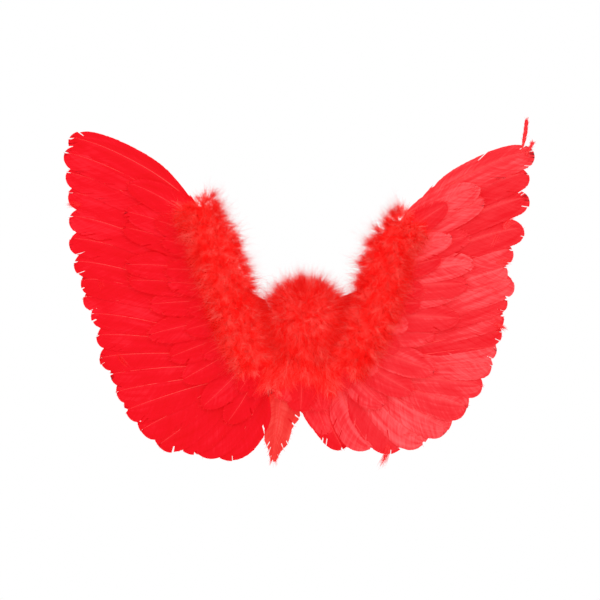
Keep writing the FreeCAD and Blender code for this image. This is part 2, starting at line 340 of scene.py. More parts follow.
def vane_material(name, deep, middle, light, gloss, variety):
    """Dyed feather: fine barbs, long streaks, a tone of its own for each feather, a paler shaft side and
    a painted red glow that lifts its shade.
    """
    m = Maker(name)
    grain = m.grain()
    barbs = m.noise(grain, (1.3, 1.0, 37.0), 2.0)
    tufts = m.noise(grain, (0.30, 1.2, 91.0))
    streaks = m.noise(grain, (0.022, 4.5, 53.0))
    cloud = m.noise(m.place(), 34.0, 2.0)
    value = m.total((m.part(grain, 2), variety), (cloud, 0.34 - variety), (barbs, 0.14), (tufts, 0.22),
                    (streaks, 0.34))
    beside_shaft = m.maths("SUBTRACT", 1.0, m.maths("ABSOLUTE", m.part(grain, 1)))
    paler = m.maths("MULTIPLY", m.maths("POWER", beside_shaft, 9.0), 0.45)
    colour = m.ramp(value, (0.38, deep), (0.54, middle), (0.70, light))
    return m.finish(m.add("Mix", {0: paler, 6: colour, 7: light}, 2, data_type="RGBA"),
                    m.span(barbs, 0.3, 0.7, 0.62, 0.42), gloss,
                    bump=(m.total(barbs, (tufts, 0.5)), 0.35, 0.0004),
                    sheen=(0.05, 0.4, (1.0, 0.25, 0.22)), glow=((1.0, 0.002, 0.006), VANE_PAINTED_GLOW))


def shaft_material():
    """Quill: paler than the vane, faintly ringed, with a low gloss and a painted red glow that lifts its
    shade.
    """
    m = Maker("quill_shaft")
    rings = m.noise(m.grain(), (0.5, 3.0, 11.0), 4.0)
    return m.finish(m.ramp(rings, (0.3, (0.80, 0.012, 0.016)), (0.7, (0.95, 0.095, 0.085))),
                    m.span(rings, 0.3, 0.7, 0.48, 0.3), 0.4, bump=(rings, 0.25, 0.0002),
                    glow=((1.0, 0.01, 0.012), VANE_PAINTED_GLOW))


def fibre_material(name, colour, roughness, glow):
    """One shade of loose down or barb; a tuft's colour variation comes from several shades. Each carries
    a painted red glow that lifts the shadow between the fibres.
    """
    return Maker(name).finish(colour, roughness, 0.12, sheen=(0.08, 0.5, DOWN_TINT),
                              glow=(DOWN_PAINTED_GLOW_COLOUR, glow))


def down_core_material():
    """Matted down under the loose fibres, with a painted red glow that lifts its shadows."""
    m = Maker("down_core")
    streaks = m.noise(m.place(), (900.0, 900.0, 260.0), 4.0, 0.6)
    clumps = m.noise(m.place(), 120.0, 2.0)
    value = m.total((streaks, 0.6), (clumps, 0.4))
    return m.finish(m.ramp(value, (0.34, (0.80, 0.002, 0.004)), (0.62, (0.92, 0.024, 0.018))),
                    m.span(streaks, 0.3, 0.7, 0.95, 0.75), 0.1, bump=(streaks, 0.8, 0.0015),
                    sheen=(0.1, 0.5, DOWN_TINT), glow=(DOWN_PAINTED_GLOW_COLOUR, DOWN_PAINTED_GLOW))


def felt_material(name, deep, light):
    """Pressed wool felt: matted short fibres, slight cloudiness, no weave."""
    m = Maker(name)
    hairs = m.noise(m.place(), (1500.0, 1500.0, 700.0), 5.0, 1.6)
    lie = m.noise(m.place(), (600.0, 1500.0, 1800.0), 4.0, 1.2)
    value = m.maths("MULTIPLY", m.total(hairs, lie, m.noise(m.place(), 28.0)), 0.3333)
    return m.finish(m.ramp(value, (0.38, deep), (0.6, light)), m.span(hairs, 0.3, 0.7, 1.0, 0.82), 0.1,
                    bump=(m.total(hairs, lie), 0.6, 0.0006), sheen=(0.2, 0.6, (1.0, 0.45, 0.4)))


def elastic_material():
    """Woven elastic: fine ribs along the band and picks across it, with painted shade in the furrows."""
    m = Maker("woven_elastic")
    grain = m.grain()
    ribs = m.maths("SINE", m.maths("MULTIPLY", m.part(grain, 1), TURN / 0.9))
    picks = m.maths("SINE", m.maths("MULTIPLY", m.part(grain, 0), TURN / 0.8))
    weave = m.total(m.maths("ABSOLUTE", ribs), (m.maths("ABSOLUTE", picks), 0.6))
    # the weave's height also paints shade into the colour: the furrows get the darker end of the ramp
    value = m.total((weave, 0.4), (m.noise(grain, (3.0, 3.0, 1.0)), 0.5))
    return m.finish(m.ramp(value, (0.3, (0.36, 0.006, 0.010)), (0.75, (0.80, 0.022, 0.030))),
                    m.span(weave, 0.0, 1.6, 0.85, 0.6), 0.25, bump=(weave, 0.7, 0.0004),
                    sheen=(0.08, 0.4, (1.0, 0.4, 0.4)))


def thread_material():
    """Spun polyester thread: twisted plies with a satin shine."""
    m = Maker("spun_thread")
    grain = m.grain()
    plies = m.maths("SINE", m.total((m.part(grain, 0), 9.0), (m.part(grain, 1), TURN)))
    fuzz = m.noise(m.place(), 900.0, 2.0)
    value = m.total((plies, 0.25), fuzz)
    return m.finish(m.ramp(value, (0.25, (0.45, 0.008, 0.014)), (0.8, (0.88, 0.05, 0.055))),
                    m.span(fuzz, 0.3, 0.7, 0.6, 0.4), 0.4, bump=(plies, 0.5, 0.0002),
                    sheen=(0.2, 0.5, (1.0, 1.0, 1.0)))


def card_material():
    """Grey board: pulp flecks and faint calender lines."""
    m = Maker("pressed_card")
    pulp = m.noise(m.place(), 1300.0, 4.0)
    flecks = m.noise(m.place(), (700.0, 700.0, 240.0), 2.0, 1.0)
    value = m.total((pulp, 0.35), (flecks, 0.3), (m.noise(m.place(), 40.0), 0.35))
    colour = m.ramp(value, (0.3, (0.50, 0.43, 0.34)), (0.55, (0.70, 0.63, 0.53)),
                    (0.75, (0.82, 0.77, 0.68)))
    return m.finish(colour, m.span(pulp, 0.3, 0.7, 0.95, 0.78), 0.25,
                    bump=(m.total(pulp, flecks), 0.35, 0.0003))


def sleeve_material():
    """Milky moulded tube: faint flow lines and scuffs in its gloss."""
    m = Maker("sleeve_tube")
    flow = m.noise(m.place(), (500.0, 500.0, 60.0))
    scuffs = m.noise(m.place(), (900.0, 900.0, 2600.0), 5.0, 0.8)
    return m.finish(m.ramp(flow, (0.3, (0.80, 0.80, 0.77)), (0.7, (0.93, 0.93, 0.91))),
                    m.span(scuffs, 0.35, 0.7, 0.28, 0.5), bump=(scuffs, 0.15, 0.0002))


def metal_material(name, dark, light, stretch, low, high):
    """Drawn or rolled metal: fine lines along the draw and dull patches."""
    m = Maker(name)
    m.shader.inputs["Metallic"].default_value = 1.0
    lines = m.noise(m.place(), stretch)
    value = m.total((lines, 0.5), (m.noise(m.place(), 160.0), 0.5))
    return m.finish(m.ramp(value, (0.35, dark), (0.65, light)),
                    m.span(value, 0.35, 0.65, high, low), bump=(lines, 0.2, 0.00015))


# light_red is the right wing's paler, pinker copy of the same dyed red: painted light for the key light
# that falls on the right wing.
VANES = {tone: vane_material("vane_" + tone, *look) for tone, look in {
    "deep_red": ((0.65, 0.0, 0.004), (0.71, 0.001, 0.010), (0.80, 0.016, 0.032), 0.10, 0.10),
    "light_red": ((0.66, 0.002, 0.009), (0.73, 0.024, 0.033), (0.86, 0.12, 0.13), 0.16, 0.23),
    "red": ((0.66, 0.001, 0.006), (0.72, 0.008, 0.016), (0.84, 0.050, 0.060), 0.12, 0.16),
    "orange_red": ((0.62, 0.010, 0.010), (0.70, 0.030, 0.024), (0.84, 0.10, 0.080), 0.16, 0.16)}.items()}
SHAFT = shaft_material()
FELT = felt_material("felt_base", (0.62, 0.003, 0.008), (0.88, 0.020, 0.026))
LINING = felt_material("felt_lining", (0.40, 0.004, 0.008), (0.72, 0.020, 0.026))
PAD_FABRIC = felt_material("felt_pad", (0.36, 0.004, 0.008), (0.66, 0.020, 0.028))
ELASTIC = elastic_material()
THREAD = thread_material()
DOWN_CORE = down_core_material()
DOWN = [fibre_material("down_" + tone, colour, 0.65, DOWN_PAINTED_GLOW) for tone, colour in (
    ("deep", (0.84, 0.001, 0.002)), ("red", (0.90, 0.012, 0.010)), ("orange", (0.94, 0.050, 0.042)),
    ("pale", (0.98, 0.130, 0.110)), ("bright", (1.0, 0.26, 0.22)))]
BARBS = [fibre_material("barb_" + tone, colour, 0.5, VANE_PAINTED_GLOW) for tone, colour in (
    ("deep", (0.80, 0.002, 0.008)), ("red", (0.86, 0.020, 0.028)), ("rose", (0.82, 0.020, 0.030)),
    ("pale", (0.90, 0.065, 0.070)))]
BARBS = {"left": BARBS[:2], "right": BARBS[2:]}


# ---- feathers

class Feather:
    """A CAD vane measured: its root, tip, plane and the offsets of its two sides."""

    def __init__(self, points, triangles):
        loop = front_outline(points, triangles)
        xz = loop[:, (0, 2)]
        following = np.roll(xz, -1, axis=0)
        cross = xz[:, 0] * following[:, 1] - following[:, 0] * xz[:, 1]
        centroid = ((xz + following) * cross[:, None]).sum(axis=0) / (3 * cross.sum())
        far = np.linalg.norm(xz - centroid, axis=1)
        start = int(np.argmax(np.minimum(far, np.roll(far, -1))))
        self.root = (xz[start] + following[start]) / 2
        order = np.roll(xz, -start - 1, axis=0)
        tip = int(np.argmax(np.linalg.norm(order - self.root, axis=1)))
        self.tip = order[tip]
        self.length = float(np.linalg.norm(self.tip - self.root))
        self.u = (self.tip - self.root) / self.length
        self.v = np.array((-self.u[1], self.u[0]))
        if self.v[1] < 0:
            self.v = -self.v
        sides = [self.measure(order[:tip + 1]), self.measure(order[tip:][::-1])]
        self.low, self.high = sorted(sides, key=lambda side: side[1].mean())
        fit = np.c_[np.ones(len(loop)), xz]
        self.plane = np.linalg.lstsq(fit, loop[:, 1], rcond=None)[0]

    def measure(self, chain):
        rel = chain - self.root
        along = np.maximum.accumulate(rel @ self.u / self.length)
        return along + np.arange(len(along)) * 1e-9, rel @ self.v

    def turned(self, degrees, stretch):
        """The feather as it really lies: turned about its root in its plane, and stretched."""
        c, s = math.cos(math.radians(degrees)), math.sin(math.radians(degrees))
        self.u, self.v = (np.array((c * a[0] - s * a[1], s * a[0] + c * a[1])) for a in (self.u, self.v))
        self.length *= stretch

    def side(self, which, s):
        along, offset = self.high if which > 0 else self.low
        return np.interp(s, along, offset)

    def rachis(self, s, lean):
        """The offset of the shaft: lean is its share of the half width off the middle."""
        high, low = self.side(1, s), self.side(-1, s)
        return (high + low) / 2 + lean * (high - low) / 2

    def point(self, s, v, lift=0.0):
        """The place in the frame of a point at share s of the length and offset v across."""
        s, v, lift = np.broadcast_arrays(np.asarray(s, float), v, lift)
        xz = self.root + s[..., None] * self.length * self.u + v[..., None] * self.v
        y = self.plane[0] + xz @ self.plane[1:] - lift
        return np.stack([xz[..., 0], y, xz[..., 1]], axis=-1)


@dataclass
class Look:
    """How the feathers of one row are grown."""
    lean: float  # the shaft's offset, as a share of the half width
    curl: tuple  # least and greatest curl of the tip, forward
    cup: float  # how far the edges curve back
    splits: int  # gaps in each web
    ragged: float  # how far the tufts between the gaps gather
    shaft: float  # radius of the shaft at its root
    loose: int  # free barbs at each edge
    whisker: float  # and their length
    widen: float = 1.0
    taper: tuple = ((0, 1), (1, 1))  # shares of the length, and of the width there
    turn: float = 0.0  # greatest turn about the root in degrees
    stray: float = 0.0  # chance of a stray tuft at each edge
    centred: bool = False  # whether it is kept clear of the folding wings


POINTED = ((0, 0.5, 0.75, 0.9, 1), (1, 1, 0.90, 0.76, 0.6))
BROAD_ROOT = ((0, 0.25, 0.5, 0.8, 1), (2.8, 1.8, 0.98, 0.84, 0.7))
HANGING = ((0, 0.25, 0.5, 0.74, 0.85, 0.97, 1), (3.2, 1.9, 1, 0.80, 0.44, 0.36, 0.6))
LOOKS = {
    "primary_feathers": Look(0.20, (-0.0012, 0.0004), 0.0006, 2, 1.0, 0.00062, 30, 0.0016, stray=0.12),
    "secondary_feathers": Look(0.12, (-0.0012, 0.0004), 0.0006, 2, 1.0, 0.00058, 26, 0.0014, stray=0.12),
    "tertial_feathers": Look(0.06, (-0.0010, 0.0006), 0.0006, 2, 1.0, 0.00055, 26, 0.0016, 1.11,
                             stray=0.10),
    "greater_coverts": Look(0.06, (-0.0010, 0.0), 0.0003, 1, 1.0, 0.00042, 40, 0.0026, 1.12, POINTED,
                            5.0),
    "median_coverts": Look(0.04, (-0.0008, 0.0002), 0.0003, 1, 1.0, 0.00036, 44, 0.0030, 1.08, POINTED,
                           7.0),
    "scapular_feathers": Look(0.02, (-0.0002, 0.0008), 0.0004, 2, 1.0, 0.00038, 40, 0.0026, 1.25, POINTED,
                              7.0),
    "tail_feathers": Look(0.04, (-0.0010, 0.0004), 0.0005, 3, 1.2, 0.00050, 26, 0.0020, 1.20, BROAD_ROOT,
                          centred=True),
    "centre_coverts": Look(0.02, (0.0, 0.0008), 0.0003, 2, 1.1, 0.00042, 40, 0.0028, 1.5, BROAD_ROOT, 4.0,
                           centred=True),
    "loose_plume": Look(0.10, (-0.0006, 0.0002), 0.0004, 6, 1.6, 0.00050, 50, 0.0034, 1.15, HANGING),
    "stripped_quills": Look(0.0, (0.0, 0.0002), 0.0001, 6, 1.6, 0.00050, 24, 0.0022),
}
RACHIS_START, RACHIS_END, BARB_SWEEP = 0.01, 0.97, 1.62
BARB_ROW, COLUMNS = 0.0014, 8  # distance between rows of points along a web, and points across it
CLEAR_X, CLEAR_Z = 0.0262, -0.047  # how far sideways the centre feathers reach above that height


def grow_vane(out, barbs, feather, rng, look, wear):
    """One feather: two webs of barbs split into tufts, its shaft, and loose barbs at its edges."""
    if look.turn:
        feather.turned(rng.uniform(-1, 1) * look.turn, rng.uniform(0.86, 1.10))
    length = feather.length
    rows = int(np.clip(length / BARB_ROW, 26, 96))
    t = np.linspace(0.0, 1.0, COLUMNS)
    lean = look.lean * rng.uniform(0.6, 1.4)
    tone = rng.uniform()
    curl = rng.uniform(*look.curl)
    cup = look.cup * rng.uniform(0.6, 1.3)
    roll = rng.uniform(-0.5, 0.5) * look.cup
    for web in (-1, 1):
        slots = np.arange(5, rows - 5, 4)
        cuts = np.sort(rng.choice(slots, size=min(int(look.splits * wear), len(slots)), replace=False))
        tuft = np.searchsorted(cuts, np.arange(rows), side="right")
        tufts = range(tuft.max() + 1)
        g = np.linspace(0.0, 1.0, rows)
        g[cuts - 1] += 0.25 / rows
        g[cuts] -= 0.25 / rows
        r = RACHIS_START + (RACHIS_END - RACHIS_START) * g
        reach = 1 - (1 - g) ** BARB_SWEEP
        depth = rng.uniform(0.70, 0.94, size=rows)
        pull = rng.uniform(0.02, 0.08, size=len(tufts)) * look.ragged
        rise = rng.normal(0, 0.00010, size=len(tufts))
        middle = np.array([reach[tuft == k].mean() for k in tufts])[tuft]
        ends = np.clip(reach + rng.normal(0, 0.0016, rows), 0, 1)
        outer = feather.side(web, ends) * look.widen * np.interp(ends, *look.taper)
        start = feather.rachis(r, lean)
        width = (outer - start) * (1 + rng.normal(0, 0.010, rows))
        s = r[:, None] + (ends - r)[:, None] * t ** 1.45
        s = s + ((middle - reach) * pull[tuft])[:, None] * t ** 2.2
        wave = np.sin(g[:, None] * 31 + web * 2 + tone * 9) * 0.00010 * t
        lift = curl * s ** 2.5 - cup * t ** 2 + roll * t * web + rise[tuft][:, None] * t ** 2 + wave
        points = feather.point(s, start[:, None] + width[:, None] * t, lift)
        if look.centred:
            beside = points[..., 2] > CLEAR_Z
            points[beside, 0] = np.clip(points[beside, 0], -CLEAR_X, CLEAR_X)
        grain = np.stack(np.broadcast_arrays(g[:, None] * length * 1000, t * web, tone), axis=-1)
        faces = []
        for i in range(rows - 1):
            for j in range(COLUMNS - 1):
                if tuft[i] == tuft[i + 1] or t[j + 1] < depth[i]:
                    a = i * COLUMNS + j
                    quad = (a, a + 1, a + COLUMNS + 1, a + COLUMNS)
                    faces.append(quad if web > 0 else quad[::-1])
        out.add(points.reshape(-1, 3), faces, grain.reshape(-1, 3))
        loose = rng.choice(rows, size=min(rows, look.loose), replace=False)
        tips, before = points[loose, -1], points[loose, -3]
        direction = tips - before
        direction /= np.maximum(np.linalg.norm(direction, axis=1), 1e-9)[:, None]
        barbs.append((before * 0.4 + tips * 0.6, direction,
                      rng.uniform(0.8, 1.7, len(loose)) * look.whisker,
                      rng.normal(0, 0.25, (len(loose), 3))))
        if rng.uniform() < look.stray * wear:
            barbs.append(stray_tuft(feather, web, rng))
    s = np.linspace(0.0, RACHIS_END, 15)
    line = feather.point(s, feather.rachis(s, lean), curl * s ** 2.5 + 0.00012)
    points, faces = tube(line, look.shaft * (1 - 0.82 * s))
    out.add(points, faces, ring_grain(s * length * 1000, 6, tone), 1)


def stray_tuft(feather, web, rng):
    """A clump of barbs that has come away near the feather's tip and hooks outward."""
    count = 70
    s = rng.uniform(0.80, 0.92)
    base = feather.point(s, feather.side(web, s) * 0.5)
    beyond = feather.point(s + 0.10, feather.side(web, s) * 0.9)
    hook = web * rng.uniform(-0.3, 0.7) * feather.v
    bend = np.array((hook[0], 0.0, hook[1])) + rng.normal(0, 0.05, (count, 3))
    aim = unit(beyond - base) + rng.normal(0, 0.06, (count, 3)) * (1.0, 0.4, 1.0)
    start = base + rng.normal(0, 0.0010, (count, 3)) * (1.0, 0.1, 1.0)
    return start, aim, rng.uniform(0.7, 1.0, count) * rng.uniform(0.011, 0.017), bend


def feather_row(node, kind, body, slot, vane, seed, wear=1.0):
    """The visible feathers of one CAD row. Returns their loose barbs."""
    rng = np.random.default_rng(seed)
    feathers = [Feather(*solid) for solid in solids_of(node)]
    out, barbs = Pieces(), []
    for feather in sorted(feathers, key=lambda feather: -feather.tip[1]):
        grow_vane(out, barbs, feather, rng, LOOKS[kind], wear)
    place(out.build("visible_" + node, [VANES[vane], SHAFT]), body, slot, node)
    return barbs


def loose_barbs(name, body, slot, gathered, materials, seed):
    """The fine free barbs at the edges of all the feathers of one body."""
    rng = np.random.default_rng(seed)
    base, along, length, bend = (np.concatenate(parts) for parts in zip(*gathered))
    count = len(base)
    along = unit(along + rng.normal(0, 0.10, size=(count, 3)) * (1.0, 0.6, 1.0))
    width = rng.uniform(0.00022, 0.00038, count)
    normal = FRONT + 0.3 * along
    shade = rng.integers(0, len(materials), count)
    place(ribbons(name, base, along, bend, length, width, shade, materials, rng, normal), body, slot)


WING_ROWS = ("primary_feathers", "secondary_feathers", "tertial_feathers", "greater_coverts",
             "median_coverts", "scapular_feathers")
# the right wing's light_red vane is painted light from the key on that side
WING_STYLE = {"left": ("deep_red", "feather_red", 1.0), "right": ("light_red", "feather_light_red", 1.7)}
for number, (name, body, side) in enumerate(WINGS):
    vane, slot, wear = WING_STYLE[name]
    gathered = []
    for k, kind in enumerate(WING_ROWS):
        gathered += feather_row(kind + "_" + name, kind, body, slot, vane, 100 * number + k, wear)
    if name == "right":
        gathered += feather_row("stripped_quills", "stripped_quills", body, "quill", "light_red", 190)
    loose_barbs("loose_barbs_" + name, body, slot, gathered, BARBS[name], 40 + number)
gathered = []
for k, (node, slot, vane) in enumerate((("tail_feathers", "feather_light_red", "red"),
                                        ("centre_coverts", "feather_light_red", "red"),
                                        ("loose_plume", "feather_orange_red", "orange_red"))):
    gathered += feather_row(node, node, "centre", slot, vane, 300 + k)
loose_barbs("loose_barbs_centre", "centre", "feather_light_red", gathered, BARBS["right"], 42)


# ---- marabou

FIBRES, PLUMES, SKIRT, LAYERS = 36000, 600, 130, 2
WISPS = 0.22  # share of the fibres that are long and thin
SHADES = (0.21, 0.27, 0.23, 0.18, 0.11)  # share of the plumes in each shade of DOWN
FOREMOST = cad_low.y - 0.0085  # how far to the front down may reach
GOLDEN, WRAP = 0.618034, math.radians(105)  # how plumes are spread round a band, and how far round
ENDS = 0.12, 0.9  # shares of a band above and below which its plumes fan out over its ends
CORD_TURNS, CORD_PLY, CORD_LENGTH = 42, 0.0006, 170  # turns, ply radius, grain length in millimetres


class Band:
    """The middle line of a marabou trim and its reach to each side, measured on its CAD nodes."""

    def __init__(self, name):
        cord = welded("boa_cord_" + name)[0]
        trim = welded("marabou_trim_" + name)[0]
        self.low, self.high = cord[:, 2].min(), cord[:, 2].max()
        self.bend = np.polyfit(cord[:, 2], cord[:, 0], 5)
        self.y = (cord[:, 1].min() + cord[:, 1].max()) / 2
        self.back, self.deep = trim[:, 1].max(), abs(trim[:, 1].min() - self.y)
        share = np.clip((self.high - trim[:, 2]) / (self.high - self.low), 0, 1)
        offset = ((trim - self.at(share)) * self.across(share)).sum(axis=1)
        bins = np.linspace(0, 1, 9)
        which = np.clip(np.digitize(share, bins) - 1, 0, 7)
        self.bins = (bins[:-1] + bins[1:]) / 2
        self.reach = [np.array([(sign * offset[which == k]).max() for k in range(8)]) for sign in (-1, 1)]

    def at(self, share):
        z = self.high - (self.high - self.low) * np.asarray(share)
        return np.stack([np.polyval(self.bend, z), np.full_like(z, self.y), z], axis=-1)

    def run(self, share):
        return unit(self.at(np.asarray(share) + 0.01) - self.at(np.asarray(share) - 0.01))

    def across(self, share):
        return np.cross(self.run(share), FRONT)

    def width(self, share, sign):
        near, far = (np.interp(share, self.bins, reach) for reach in self.reach)
        return np.where(sign > 0, far, near)


def down_fibres(name, root, aim, outward, reach, rng, fluff, rearmost):
    """Small plumes of down: stems from root points along aim, each with fine curling fibres on its sides,
    some of them long thin wisps. The fibres share the soft shading of the surface they lie on.
    They stay between FOREMOST and the depth that rearmost gives for a sideways position."""
    count = len(root)
    owner = rng.integers(0, count, FIBRES)
    up = rng.uniform(0.0, 1.0, FIBRES) ** 0.8
    stem_bend = rng.normal(0, 0.20, size=(count, 3)) + (0.0, 0.0, -0.06)
    base = root[owner] + aim[owner] * (reach[owner] * up)[:, None]
    base = base + stem_bend[owner] * (reach[owner] * up ** 2)[:, None]
    base = base + rng.normal(0, 0.0006, (FIBRES, 3))
    tangent = unit(aim[owner] + 2 * stem_bend[owner] * up[:, None])
    flat = unit(np.cross(aim, rng.normal(size=(count, 3))))
    side = flat[owner] * rng.choice((-1.0, 1.0), FIBRES)[:, None]
    along = tangent * rng.uniform(0.45, 1.0, FIBRES)[:, None]
    along = along + side * rng.uniform(0.15, 0.75, FIBRES)[:, None]
    along = unit(along + rng.normal(0, 0.18, size=(FIBRES, 3)))
    wisp = rng.uniform(size=FIBRES) < WISPS
    length = fluff * np.where(wisp, rng.uniform(1.2, 1.9, FIBRES), rng.uniform(0.45, 1.1, FIBRES))
    bend = tangent * 0.2 + np.clip(rng.normal(0, 0.28, size=(FIBRES, 3)), -0.6, 0.6)
    along[wisp] = along[wisp] * 0.5 + outward[owner][wisp] * 0.6
    along = unit(along)
    limit = rearmost(np.abs(base[:, 0] + (along + bend)[:, 0] * length))
    base[:, 1] = np.clip(base[:, 1], FOREMOST + 0.0015, limit - 0.0008)
    travel = (along + bend)[:, 1]
    room = np.where(travel < 0, base[:, 1] - FOREMOST, limit - base[:, 1])
    allowed = room / np.maximum(np.abs(travel), 1e-6) + np.where(travel < 0, 0.0, 0.0006)
    length = np.minimum(length, allowed)
    width = np.where(wisp, rng.uniform(0.00007, 0.00012, FIBRES), rng.uniform(0.00013, 0.00028, FIBRES))
    shade = rng.choice(len(DOWN), size=count, p=SHADES)
    slots = np.clip(shade[owner] + rng.choice((-1, 0, 0, 0, 0, 1), FIBRES), 0, 4)
    normal = outward[owner] + 0.5 * along + rng.normal(0, 0.15, size=(FIBRES, 3))
    return ribbons(name, base, along, bend, length, width, slots, DOWN, rng, normal)


def marabou_band(name, body, band, seed):
    """One trim: layers of plumes over the front and sides of its band, lying down its length."""
    for layer in range(LAYERS):
        rng = np.random.default_rng(seed + 7 * layer)
        number = np.arange(PLUMES)
        share = (number + rng.uniform(0, 1, PLUMES)) / PLUMES
        turn = (number * GOLDEN + rng.uniform(-0.03, 0.03, PLUMES)) % 1 * 2 - 1
        sine, cosine = (wave(turn * WRAP)[:, None] for wave in (np.sin, np.cos))
        across, wide = band.across(share), band.width(share, turn)[:, None] + 0.0015
        outer = sine * wide * across + cosine * band.deep * FRONT
        outward = unit(sine / wide * across + cosine / band.deep * FRONT)
        inner = rng.uniform(0.35, 0.72, PLUMES)
        root = band.at(share) + outer * inner[:, None]
        fan = np.where(share < ENDS[0], -0.55, 0.0) + np.where(share > ENDS[1], 0.4, 0.0)
        fan = fan + rng.normal(0.34, 0.34, PLUMES)
        aim = unit(outward * 0.8 + band.run(share) * fan[:, None] + rng.normal(0, 0.2, (PLUMES, 3)))
        reach = (1.0 - inner) * np.linalg.norm(outer, axis=1) * rng.uniform(0.8, 1.1, PLUMES)
        reach *= (1 - 0.3 * sine[:, 0] ** 4) * np.where(share < ENDS[0], 0.75, 1.0)
        obj = down_fibres(f"marabou_{name}_{layer + 1}", root, aim, outward, np.clip(reach, 0.004, 0.014),
                          rng, 0.0088, lambda x: np.full_like(x, band.back + 0.0006))
        place(obj, body, "marabou_down", *(["marabou_trim_" + name] if layer == 0 else []))


def down_core(name, body, rings, seed):
    """A lumpy closed body of matted down through rings of points."""
    phase = np.random.default_rng(seed).uniform(0, 6.28, 6)
    count = len(rings[0])
    turn = np.arange(count) / count * TURN
    points = []
    for k, ring in enumerate(rings):
        middle = ring.mean(axis=0)
        lump = (0.9 + 0.06 * np.sin(3 * turn + 1.3 * k + phase[0])
                + 0.05 * np.sin(5 * turn - 0.9 * k + phase[1])
                + 0.04 * np.sin(8 * turn + 2.1 * k + phase[2]))
        points.append(middle + (ring - middle) * lump[:, None])
    core = new_object(name, np.concatenate(points), ring_faces(len(rings), count), [DOWN_CORE])
    place(rounded(core), body, "marabou_down")


def core_ring(middle, right, wide, deep):
    """Twenty points round a middle, at reaches to the right and the front that depend on the turn."""
    turn = np.linspace(0, TURN, 20, endpoint=False)
    return (middle + np.outer(np.cos(turn) * wide(turn), right)
            + np.outer(np.sin(turn) * deep(turn), FRONT))


def band_core(name, body, band, seed):
    rings = []
    for share in np.linspace(0.02, 0.98, 22):
        shrink = 0.72 * min(1.0, 0.45 + 6 * min(share, 1 - share))
        rings.append(core_ring(
            band.at(share), band.across(share),
            lambda turn: band.width(share, np.cos(turn)) * shrink,
            lambda turn: np.where(np.sin(turn) > 0, band.deep * shrink, abs(band.back - band.y) * 0.9)))
    down_core("marabou_core_" + name, body, rings, seed)


def twisted_cord(name, body, band):
    """The cord the down is spun into: two plies round each other."""
    out = Pieces()
    share = np.linspace(0.0, 1.0, 220)
    for ply in (0.0, math.pi):
        turn = (share * TURN * CORD_TURNS + ply)[:, None]
        path = band.at(share) + 0.00055 * (np.cos(turn) * band.across(share) + np.sin(turn) * FRONT)
        out.add(*tube(path, CORD_PLY), ring_grain(share * CORD_LENGTH, 6))
    place(out.build("twisted_cord_" + name, [THREAD]), body, "boa_cord", "boa_cord_" + name)


def marabou_mound(seed):
    """The middle tuft: a dome of plumes in two halves, one to each side, with a skirt that hangs over the
    roots of the feathers below."""
    low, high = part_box("centre_marabou")
    centre = np.array((0.004, high.y - 0.002, low.z + (high.z - low.z) * 0.62))
    radii = np.array(((high.x - low.x) / 2 + 0.019, high.y - low.y - 0.004, high.z - centre[2] + 0.005))
    count = PLUMES + SKIRT
    skirt = np.arange(count) >= PLUMES
    for number, (name, body, side) in enumerate(WINGS):
        rng = np.random.default_rng(seed + 7 * number)
        ball = unit(rng.normal(size=(count, 3)))
        ball[:, 0] = np.abs(ball[:, 0]) * side
        ball[:, 1] = -np.abs(ball[:, 1])
        drop = np.where(ball[:, 2] < 0, 1.9, 1.0)
        spread = 1.0 + 0.95 * np.clip(-ball[:, 2], 0, 1)
        outer = ball * radii * np.stack([spread, np.ones(count), drop], 1)
        outward = unit(ball / radii)
        inner = rng.uniform(0.42, 0.76, count)
        root = centre + outer * inner[:, None]
        hang = np.clip(-ball[:, 2] + 0.15, 0, 1) * 0.9
        aim = outward * 0.8 + rng.normal(0, 0.26, (count, 3))
        aim[:, 2] -= hang
        aim[:, 0] += 0.35 * hang * side
        aim = unit(aim)
        reach = (1.0 - inner) * np.linalg.norm(outer, axis=1) * rng.uniform(0.8, 1.1, count)
        hem = rng.uniform(0, 1, SKIRT)
        root[skirt] = np.stack([hem * side * 0.033, rng.uniform(-0.0180, -0.0125, SKIRT),
                                low.z + 0.003 - rng.uniform(0, 0.024, SKIRT) * hem ** 0.7], 1)
        aim[skirt] = np.stack([0.35 * hem * side, rng.normal(-0.1, 0.1, SKIRT), np.full(SKIRT, -1.0)], 1)
        outward[skirt] = FRONT + np.outer(hem * side * 0.3, (1.0, 0.0, 0.0))
        obj = down_fibres("marabou_centre_" + name, root, aim, outward, np.clip(reach, 0.004, 0.016), rng,
                          0.0095, lambda x: np.interp(x, (0.026, 0.031), (-0.0115, -0.0190)))
        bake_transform(obj)
        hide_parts("centre_marabou")
    rings = []
    for height in np.linspace(-1.45, 0.78, 18):
        swell = math.sqrt(max(0.05, 1 - (height / (1.0 if height > 0 else 1.75)) ** 2)) * 0.72
        middle = centre + (0.0, -radii[1] * 0.38 * swell, height * radii[2])
        rings.append(core_ring(middle, (1.0, 0.0, 0.0), lambda turn: radii[0] * swell * 0.68,
                               lambda turn: radii[1] * 0.42 * swell))
    down_core("marabou_core_centre", "centre", rings, seed + 1)


for number, (name, body, side) in enumerate(WINGS):
    band = Band(name)
    marabou_band(name, body, band, 500 + number)
    band_core(name, body, band, 510 + number)
    twisted_cord(name, body, band)
marabou_mound(520)


# ---- felt, lining and their stitches

def even_loop(loop, step):
    """A closed loop of (x, z) points, respaced evenly."""
    closed = np.vstack([loop, loop[:1]])
    span = travelled(closed)
    at = np.linspace(0, span[-1], max(12, int(span[-1] / step)), endpoint=False)
    return np.stack([np.interp(at, span, closed[:, k]) for k in (0, 1)], 1)


